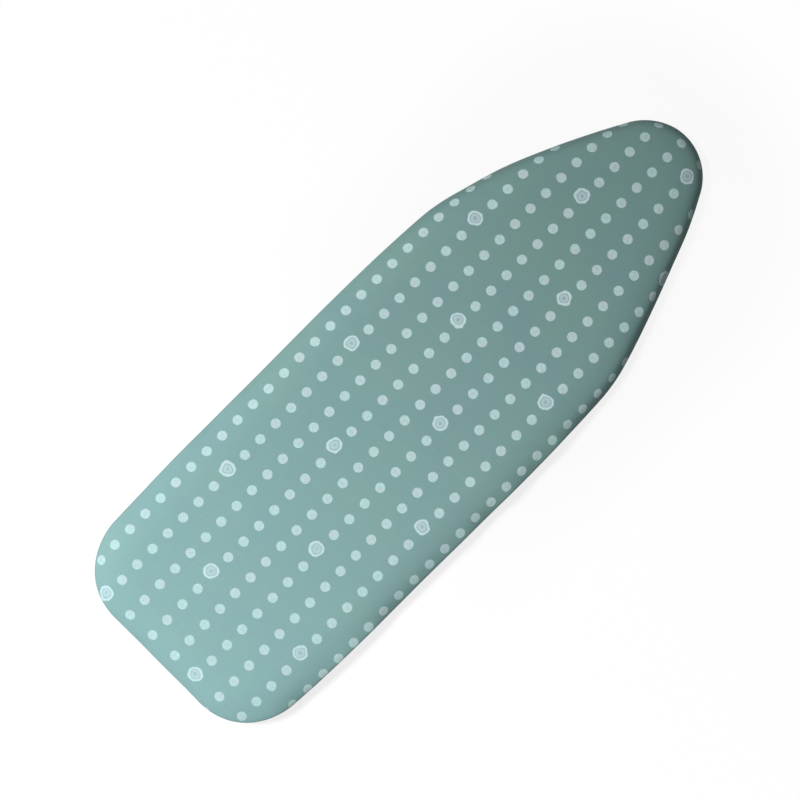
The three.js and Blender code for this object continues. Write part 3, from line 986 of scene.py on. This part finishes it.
def makeStitches():
    end = edgeHalf - hem["mouth"] - hem["stitchEnd"]
    ways = np.linspace(-end, end, 9000)
    at = outlineAt(ways)
    up = hem["tailBottom"] - pleatAt(ways, hemShare(hem["stitchOut"]))
    low, high = label["x"]
    onLabel = (at[:, 1] < 0) & (at[:, 0] > low) & (at[:, 0] < high)
    up = np.where(onLabel, label["seamUp"] - label["fold"] - 0.0002, up)
    line = np.stack([at[:, 0] + at[:, 2] * hem["stitchOut"], at[:, 1] + at[:, 3] * hem["stitchOut"], up], 1)
    lengths = wayAlong(line)
    pitch = hem["stitch"] + hem["stitchGap"]
    starts = np.arange(int(lengths[-1] / pitch)) * pitch
    places = starts[:, None] + threadShares[None, :] * hem["stitch"]
    paths = np.stack([np.interp(places, lengths, line[:, k]) for k in range(3)], 2)
    arch = np.sin(math.pi * threadShares) ** 0.6
    paths[:, :, 2] -= (hem["stitchRise"] * arch - hem["stitchSunk"])[None, :]
    radii = np.broadcast_to(hem["threadRadius"] * (0.62 + 0.38 * arch), places.shape)
    stitches = tubesAlong("hemStitches", paths, radii)
    return finishPiece(stitches, "cover", threadMaterial, "hem_thread")


def makeBartack(name, side, node):
    # a tight zigzag across the seam's end, over two long threads
    x, y = -board["length"] / 2 - hem["stitchOut"], side * bartack["side"]
    long, last = bartack["long"], bartack["threads"] - 1
    arch = [math.sin(math.pi * share) ** 0.5 for share in threadShares]
    paths = []
    for k in range(last + 1):
        middle = x - long / 2 + long * k / last
        lean = bartack["lean"] * (1 if k % 2 else -1)
        paths.append([(middle + lean * (2 * share - 1), y + bartack["wide"] * (share - 0.5),
                       bartack["up"] - bartack["rise"] * rise) for share, rise in zip(threadShares, arch)])
    for offset in (-bartack["underHalf"], bartack["underHalf"]):
        paths.append([(x + long * (share - 0.5), y + offset, bartack["under"]) for share in threadShares])
    paths = np.array(paths)
    made = tubesAlong(name, paths, np.full(paths.shape[:2], bartack["radius"]))
    return finishPiece(made, "cover", threadMaterial, node)


casing = makeCasing()
stitches = makeStitches()
bartacks = [makeBartack(f"bartack{name}", side, f"casing_bartack_{name.lower()}")
            for name, side in (("Left", 1), ("Right", -1))]
print("hem made", len(casing.data.polygons), len(stitches.data.polygons))


def gridFaces(rows, columns):
    # faces between rows of points that aren't closed into rings
    first = (np.arange(rows - 1) * columns)[:, None] + np.arange(columns - 1)
    return np.stack([first, first + 1, first + columns + 1, first + columns], 2).reshape(-1, 4).tolist()


def wovenTab():
    material, place = started("wovenTab", "cloth")
    across, along, _ = separate(place)
    weave = waves(across, 0.00032) * waves(along, 0.00045)
    selvedge = ramp(calc("ABSOLUTE", across), 0.0132, 0.0136)
    stain = ramp(noise(objectPlace(place.tree), 120.0, 3.0), 0.45, 0.8, 0.0, 0.2)
    colour = mixColour(ramp(weave, -1.0, 1.0), fromScreen(229, 228, 222), fromScreen(250, 250, 246))
    colour = mixColour(selvedge * 0.5, colour, fromScreen(224, 223, 217))
    colour = mixColour(stain, colour, fromScreen(226, 222, 208))
    finished(colour, weave + selvedge * 1.5, 0.5, 0.0001, Roughness=0.55, Sheen_Weight=0.15)
    return material


def makeLabel():
    # a folded tab: one layer out to the fold, round it and back under itself
    (low, high), (seamY, foldY) = label["x"], label["y"]
    onSide = np.flatnonzero(dense[:, 1] < 0)
    nearest = onSide[np.argmin(np.abs(dense[onSide, 0] - (low + high) / 2))]
    pulled = float(pulledAt(dense[nearest, 5], edgeHalf))
    seamY, foldY = seamY - pulled, foldY - pulled
    radius = label["foldRadius"]
    length = abs(foldY - seamY) - radius
    flat = []
    for k in range(label["rows"] + 1):
        share = k / label["rows"]
        flat.append((share * length, label["fold"] + (radius - label["fold"]) * share**2))
    turns = [math.pi / 2 - math.pi * k / label["foldRows"] for k in range(1, label["foldRows"])]
    rows = flat + [(length + radius * math.cos(angle), radius * math.sin(angle)) for angle in turns]
    rows += [(away, -spread) for away, spread in flat[::-1]]
    columns = label["columns"]
    points, uvs = [], []
    for (away, spread), way in zip(rows, wayAlong(rows)):
        share = away / (length + radius)
        droop = (label["seamUp"] - label["foldUp"]) * share**1.6
        for j in range(columns + 1):
            across = 2 * j / columns - 1
            curl = 0.0007 * share * (across**2 - 0.4) + 0.0003 * share * math.sin(4.3 * across + 1)
            points.append((low + (high - low) * j / columns, seamY - away, label["seamUp"] - droop + spread + curl))
            uvs.append((across * (high - low) / 2, way))
    faces = [face[::-1] for face in gridFaces(len(rows), columns + 1)]
    tab = meshObject("careLabel", points, faces, uvs, "cloth")
    applied(tab, "SOLIDIFY", thickness=label["cloth"], offset=-1)
    return finishPiece(tab, "cover", wovenTab(), "care_label")


tab = makeLabel()


cord = {
    "radius": 0.0014,
    "up": 0.00435,
    "endX": -0.3690,
    "turnX": -0.4387,
    "pairHalf": 0.00155,
    "bend": 0.012,
    "channel": -0.0493,
    "strands": 6,  # each way round
    "plait": 0.00150,
    "relief": 0.00013,
    "sides": 30,
    "seen": 0.003,  # how far into the casing's mouths the plait is still drawn
    "fine": 0.0003,
    "coarse": 0.004,
    "plain": (0.125, 0.105),  # the plait fades between these ways from the cord's ends
}


def cordRoute():
    # the middle line of the cord from one end to the other, finely stepped where it is seen
    half, bend = cord["pairHalf"], cord["bend"]
    turns = np.linspace(0, math.pi / 2, 64)
    visible = [(cord["endX"], -half)]
    visible += [(cord["turnX"] - bend * math.sin(a), -(half + bend) + bend * math.cos(a)) for a in turns]
    end = edgeHalf - (half + bend)
    inCasing = outlineAt(np.linspace(-end, end, 640))
    hidden = inCasing[:, :2] + inCasing[:, 2:4] * cord["channel"]
    back = [(x, -y) for x, y in visible[::-1]]

    def stepped(points, step):
        points = np.array(points)
        way = wayAlong(points)
        places = np.linspace(0, way[-1], max(2, round(way[-1] / step)))
        return np.stack([np.interp(places, way, points[:, k]) for k in (0, 1)], 1)

    mouthIn = int(np.searchsorted(wayAlong(hidden), cord["seen"]))
    fine = stepped(visible + hidden[1:mouthIn + 1].tolist(), cord["fine"])
    coarse = stepped(hidden[mouthIn:len(hidden) - mouthIn], cord["coarse"])
    last = stepped(hidden[len(hidden) - mouthIn - 1:-1].tolist() + back, cord["fine"])
    path = np.vstack([fine, coarse[1:], last[1:]])
    return np.hstack([path, np.full((len(path), 1), cord["up"])])


def plaitHeight(along, around):
    # two families of strands, one over the other by turns
    first = 0.5 * (cord["strands"] * around + 2 * math.pi * along / cord["plait"])
    second = 0.5 * (cord["strands"] * around - 2 * math.pi * along / cord["plait"])
    over = 0.3 * np.cos(first) * np.cos(second)
    return np.maximum(np.abs(np.cos(first)) + over, np.abs(np.cos(second)) - over)


def plaitedCord():
    material, place = started("plaitedCord", "cord")
    along, around, _ = separate(place)
    along, around = along * (math.pi / cord["plait"]), around * (math.pi * cord["strands"])
    first, second = calc("COSINE", around + along), calc("COSINE", around - along)
    over = first * second * 0.3
    plait = calc("MAXIMUM", calc("ABSOLUTE", first) + over, calc("ABSOLUTE", second) - over)
    height = plait + streaks(place, (5000, 60, 1)) * 0.25
    colour = mixColour(ramp(height, 0.6, 1.3), fromScreen(198, 194, 184), fromScreen(247, 245, 240))
    finished(colour, height, 0.6, 0.0002, Roughness=0.7, Sheen_Weight=0.15)
    return material


def closePlait(made):
    bmesh.ops.remove_doubles(made, verts=list(made.verts), dist=1e-7)
    closeEnds(made)
    bmesh.ops.recalc_face_normals(made, faces=list(made.faces))


def makeCord():
    path = cordRoute()
    up = np.array([0.0, 0.0, 1.0])
    side = np.cross(directions(path), up)
    way = wayAlong(path)
    # one more column than sides, so that the plait closes round the cord
    columns = cord["sides"] + 1
    angles = 2 * math.pi * np.arange(columns) / cord["sides"]
    shown = smoothStep(*cord["plain"], np.minimum(way, way[-1] - way))[:, None]
    radius = cord["radius"] - cord["relief"] * (1 - 0.75 * plaitHeight(way[:, None], angles[None, :])) * shown
    cosines, sines = (turn[None, :, None] for turn in (np.cos(angles), np.sin(angles)))
    points = path[:, None, :] + radius[:, :, None] * (cosines * side[:, None, :] + sines * up[None, None, :])
    uvs = np.stack(np.broadcast_arrays(way[:, None], (angles / (2 * math.pi))[None, :]), 2).reshape(-1, 2)
    piece = meshObject("plaitedDrawcord", points.reshape(-1, 3), gridFaces(len(path), columns), uvs, "cord")
    reworked(piece, closePlait)
    print("cord length", way[-1])
    return finishPiece(piece, "cover", plaitedCord(), "drawcord")


makeCord()
print("cord made")


lock = {
    "x": -0.4227,
    "up": 0.00435,
    "length": 0.0160,
    "height": 0.0081,
    "closedEnd": -0.01225,
    "openEnd": 0.00975,
    "corner": 0.0040,
    "mouthCorner": 0.0015,
    "edge": 0.0007,
    "panelEdge": 0.00012,
    "cavity": ((-0.0058, -0.01075, -0.0030), (0.0058, 0.0102, 0.0030)),
    "cavityCorner": 0.0005,
    "hole": ((-0.0085, -0.00625, -0.0017), (0.0085, 0.00325, 0.0017)),
    "holeCorner": 0.0007,
    "panel": (-0.0100, 0.0076),  # its two ends along the lock
    "panelHalf": 0.0058,
    "panelDepth": 0.0003,
    "panelCorner": 0.0018,
    "ribs": (-0.0074, -0.0052, -0.0030, -0.0008, 0.0014, 0.0036),
    "ribLength": 0.0078,
    "ribWidth": 0.0010,
    "ribEdge": 0.00025,
    "ribOver": 0.0002,  # how far it rises over the lock's face, and how deep it is set into the panel
}
lockPlace = (lock["x"], 0, lock["up"])

button = {
    "stem": ((-0.0055, -0.00475, -0.0027), (0.0055, 0.01330, 0.0027)),
    "stemEdge": 0.0003,
    "slot": ((-0.0065, -0.00325, -0.0017), (0.0065, 0.00625, 0.0017)),
    "head": ((-0.0065, 0.01305, -0.0035), (0.0065, 0.01565, 0.0035)),
    "headCorner": 0.0020,
    "headEdge": 0.0005,
    "groove": 0.00055,
    "grooveOut": 0.0002,
    "grooveLength": 0.0096,
    "grooveSides": 16,
    "grooves": (-0.0019, 0.0, 0.0019),
}

bell = {
    "start": -0.3787,
    "end": -0.3667,
    "radius": 0.00405,
    "bore": 0.00325,
    "rounding": 0.0006,
    "grip": (-0.3764, -0.3692),
    "gripDepth": 0.00022,
    "gripEdge": 0.00012,
    "sides": 48,
    "capStart": -0.3664,
    "capEnd": -0.3648,
    "capRing": 0.0010,
    "capSlope": 0.0002,
    "capDepth": 0.00025,
    "plug": 0.00295,
    "plugLength": 0.0023,
}

coil = {
    "start": -0.0102,
    "height": 0.0049,
    "radius": 0.0019,
    "wire": 0.00025,
    "sides": 12,
    "turns": 3.5,
    "steps": 84,
    "pressed": 0.44,  # its length at full press, as a share of its length at rest
}


def added(name, primitive, **settings):
    bpy.ops.object.select_all(action="DESELECT")
    primitive(**settings)
    piece = bpy.context.object
    piece.name = name
    bpy.ops.object.transform_apply(location=True, rotation=True, scale=True)
    return piece


def cubeBetween(name, low, high):
    # a block between two corners, given from the lock's middle
    centre = [(a + b) / 2 + c for a, b, c in zip(low, high, lockPlace)]
    size = [b - a for a, b in zip(low, high)]
    return added(name, bpy.ops.mesh.primitive_cube_add, size=1, location=centre, scale=size)


def roundBar(name, vertices, radius, depth, place):
    return added(name, bpy.ops.mesh.primitive_cylinder_add, vertices=vertices, radius=radius, depth=depth,
                 rotation=(0, math.pi / 2, 0), location=place)


@contextlib.contextmanager
def picked(piece, kind, test):
    # edit mode with only the edges or faces that pass the test selected
    onlySelect(piece)
    bpy.ops.object.mode_set(mode="EDIT")
    bpy.ops.mesh.select_mode(type=kind)
    bpy.ops.mesh.select_all(action="DESELECT")
    made = bmesh.from_edit_mesh(piece.data)
    for part in (made.edges if kind == "EDGE" else made.faces):
        if test(part):
            part.select_set(True)
    bmesh.update_edit_mesh(piece.data)
    yield
    bpy.ops.object.mode_set(mode="OBJECT")


def anyPart(part):
    return True


def runsAlong(axis):
    def test(edge):
        a, b = (v.co for v in edge.verts)
        return all(abs(a[k] - b[k]) < 1e-6 for k in range(3) if k != axis)
    return test


def liesAt(axis, *places):
    def test(edge):
        return any(all(abs(v.co[axis] - place) < 1e-6 for v in edge.verts) for place in places)
    return test


def facing(side):
    return lambda face: face.normal.x * side > 0.99


def bevelled(piece, test, width, segments):
    with picked(piece, "EDGE", test):
        bpy.ops.mesh.bevel(offset=width, segments=segments, affect="EDGES")
    return piece


def cutWith(piece, cutter, operation="DIFFERENCE"):
    applied(piece, "BOOLEAN", operation=operation, solver="EXACT", object=cutter)
    bpy.data.objects.remove(cutter)


def smoothBy(piece, degrees):
    onlySelect(piece)
    bpy.ops.object.shade_smooth_by_angle(angle=math.radians(degrees))


def moulded(piece, body, node):
    smoothBy(piece, 34)
    applied(piece, "WEIGHTED_NORMAL", keep_sharp=True)
    return finishPiece(piece, body, plastic, node)


def turned(piece, node):
    smoothBy(piece, 32)
    return finishPiece(piece, "cover", plastic, node)


def mouldedPlastic():
    material, place = started("mouldedPlastic")
    grain = cells(place, 5200.0)
    flow = streaks(place, (1, 5, 3), 240.0, 3.0)
    scuff = ramp(streaks(place, (1, 14, 1), 700.0, 4.0, 0.7), 0.60, 0.72)
    parting = ramp(calc("ABSOLUTE", separate(place)[2] - lock["up"]), 0.00004, 0.00014, 1.0, 0.0)
    colour = mixColour(ramp(flow, 0.3, 0.7), fromScreen(141, 146, 148), fromScreen(151, 156, 158))
    colour = mixColour(scuff * 0.35, colour, fromScreen(176, 180, 181))
    rough = ramp(flow + scuff * 0.4, 0.3, 1.0, 0.40, 0.62)
    finished(colour, grain * 0.4 + parting, 0.35, 0.00012, Roughness=rough)
    return material


def springWire():
    material, place = started("springWire")
    drawn = streaks(place, (3, 1, 3), 2600.0)
    colour = mixColour(drawn, fromScreen(196, 198, 200), fromScreen(224, 226, 228))
    finished(colour, drawn, 0.3, 0.00005, Metallic=1.0, Roughness=ramp(drawn, 0.2, 0.8, 0.22, 0.42))
    return material


def makeLockBody():
    half, top = lock["length"] / 2, lock["height"] / 2
    body = cubeBetween("lockBody", (-half, lock["closedEnd"], -top), (half, lock["openEnd"], top))
    upright = runsAlong(2)
    bevelled(body, lambda e: upright(e) and e.verts[0].co.y < 0, lock["corner"], 7)
    bevelled(body, lambda e: upright(e) and e.verts[0].co.y > lock["openEnd"] - 1e-5, lock["mouthCorner"], 4)
    bevelled(body, liesAt(2, lock["up"] + top, lock["up"] - top), lock["edge"], 3)
    # a sunk panel on each broad face
    wide, (start, end) = lock["panelHalf"], lock["panel"]
    for side in (-1, 1):
        low, high = sorted(side * (top + extra) for extra in (-lock["panelDepth"], 0.001))
        panel = cubeBetween("panel", (-wide, start, low), (wide, end, high))
        cutWith(body, bevelled(panel, upright, lock["panelCorner"], 6))
    applied(body, "BEVEL", width=lock["panelEdge"], segments=2, limit_method="ANGLE", angle_limit=math.radians(40))
    cutWith(body, bevelled(cubeBetween("cavity", *lock["cavity"]), runsAlong(1), lock["cavityCorner"], 3))
    cutWith(body, bevelled(cubeBetween("cordHole", *lock["hole"]), runsAlong(0), lock["holeCorner"], 4))
    long, wide = lock["ribLength"] / 2, lock["ribWidth"] / 2
    ribs = []
    for side in (-1, 1):
        ends = (top - lock["panelDepth"] - lock["ribOver"], top + lock["ribOver"])
        low, high = sorted(side * end for end in ends)
        for y in lock["ribs"]:
            rib = cubeBetween("rib", (-long, y - wide, low), (long, y + wide, high))
            ribs.append(bevelled(rib, anyPart, lock["ribEdge"], 3))
    joined(body, ribs)
    return moulded(body, "cord_lock", "cord_lock_body")


def makeButton():
    (_, inner, _), (_, outer, _) = button["head"]
    piece = bevelled(cubeBetween("lockButton", *button["head"]), runsAlong(1), button["headCorner"], 5)
    bevelled(piece, liesAt(1, outer), button["headEdge"], 3)
    bevelled(piece, liesAt(1, inner), button["headEdge"] / 2, 2)
    cutWith(piece, bevelled(cubeBetween("stem", *button["stem"]), anyPart, button["stemEdge"], 3), "UNION")
    cutWith(piece, bevelled(cubeBetween("slot", *button["slot"]), runsAlong(0), lock["holeCorner"], 4))
    for height in button["grooves"]:
        place = (lock["x"], outer + button["grooveOut"], lock["up"] + height)
        cutWith(piece, roundBar("groove", button["grooveSides"], button["groove"], button["grooveLength"], place))
    return moulded(piece, "lock_button", "cord_lock_button")


def bellBar(name, start, end, rounded):
    place = ((start + end) / 2, 0, lock["up"])
    piece = roundBar(name, bell["sides"], bell["radius"], end - start, place)
    return bevelled(piece, liesAt(0, rounded), bell["rounding"], 4)


def makeBell():
    piece = bellBar("cordEndBell", bell["start"], bell["end"], bell["start"])
    with picked(piece, "FACE", facing(1)):
        bpy.ops.mesh.inset(thickness=bell["radius"] - bell["bore"])
    with picked(piece, "FACE", facing(-1)):
        bpy.ops.mesh.inset(thickness=bell["radius"] - bell["rounding"] - bell["bore"])
    with picked(piece, "FACE", lambda f: abs(f.normal.x) > 0.99 and f.calc_area() > 2e-5):
        bpy.ops.mesh.bridge_edge_loops()
    # two cuts round it, and sunk grips between them
    for x in bell["grip"]:
        with picked(piece, "FACE", anyPart):
            bpy.ops.mesh.bisect(plane_co=(x, 0, 0), plane_no=(1, 0, 0))
    low, high = bell["grip"]

    def onGrip(face):
        middle = face.calc_center_median()
        y, z = middle.y, middle.z - lock["up"]
        turn = math.atan2(z, y) / (2 * math.pi) * bell["sides"]
        outside = math.hypot(y, z) > bell["radius"] - 0.0002
        return low < middle.x < high and outside and int(turn + bell["sides"]) % 3 != 0

    with picked(piece, "FACE", onGrip):
        bpy.ops.mesh.inset(thickness=bell["gripEdge"], depth=-bell["gripDepth"])
    return turned(piece, "cord_end_bell")


def makeCap():
    piece = bellBar("cordEndCap", bell["capStart"], bell["capEnd"], bell["capEnd"])
    with picked(piece, "FACE", facing(-1)):
        bpy.ops.mesh.inset(thickness=bell["radius"] - bell["plug"])
        bpy.ops.mesh.extrude_region_move(TRANSFORM_OT_translate={"value": (-bell["plugLength"], 0, 0)})
    with picked(piece, "FACE", facing(1)):
        bpy.ops.mesh.inset(thickness=bell["capRing"])
        bpy.ops.mesh.inset(thickness=bell["capSlope"], depth=-bell["capDepth"])
    return turned(piece, "cord_end_cap")


def makeSpring():
    piece = added("lockSpring", bpy.ops.mesh.primitive_circle_add, vertices=coil["sides"], radius=coil["wire"],
                  location=(coil["radius"], coil["start"], 0))
    applied(piece, "SCREW", axis="Y", angle=-2 * math.pi * coil["turns"], screw_offset=coil["height"],
            steps=coil["steps"], render_steps=coil["steps"])
    with picked(piece, "FACE", anyPart):
        bpy.ops.mesh.fill_holes(sides=0)
        bpy.ops.mesh.select_all(action="SELECT")
        bpy.ops.mesh.normals_make_consistent(inside=False)
        bpy.ops.transform.translate(value=lockPlace)
    smoothBy(piece, 50)
    finishPiece(piece, "cord_lock", springWire(), "cord_lock_spring")
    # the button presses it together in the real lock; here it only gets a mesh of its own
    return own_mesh(piece)


plastic = mouldedPlastic()
makeLockBody()
makeButton()
makeBell()
makeCap()
makeSpring()
print("cord lock made")
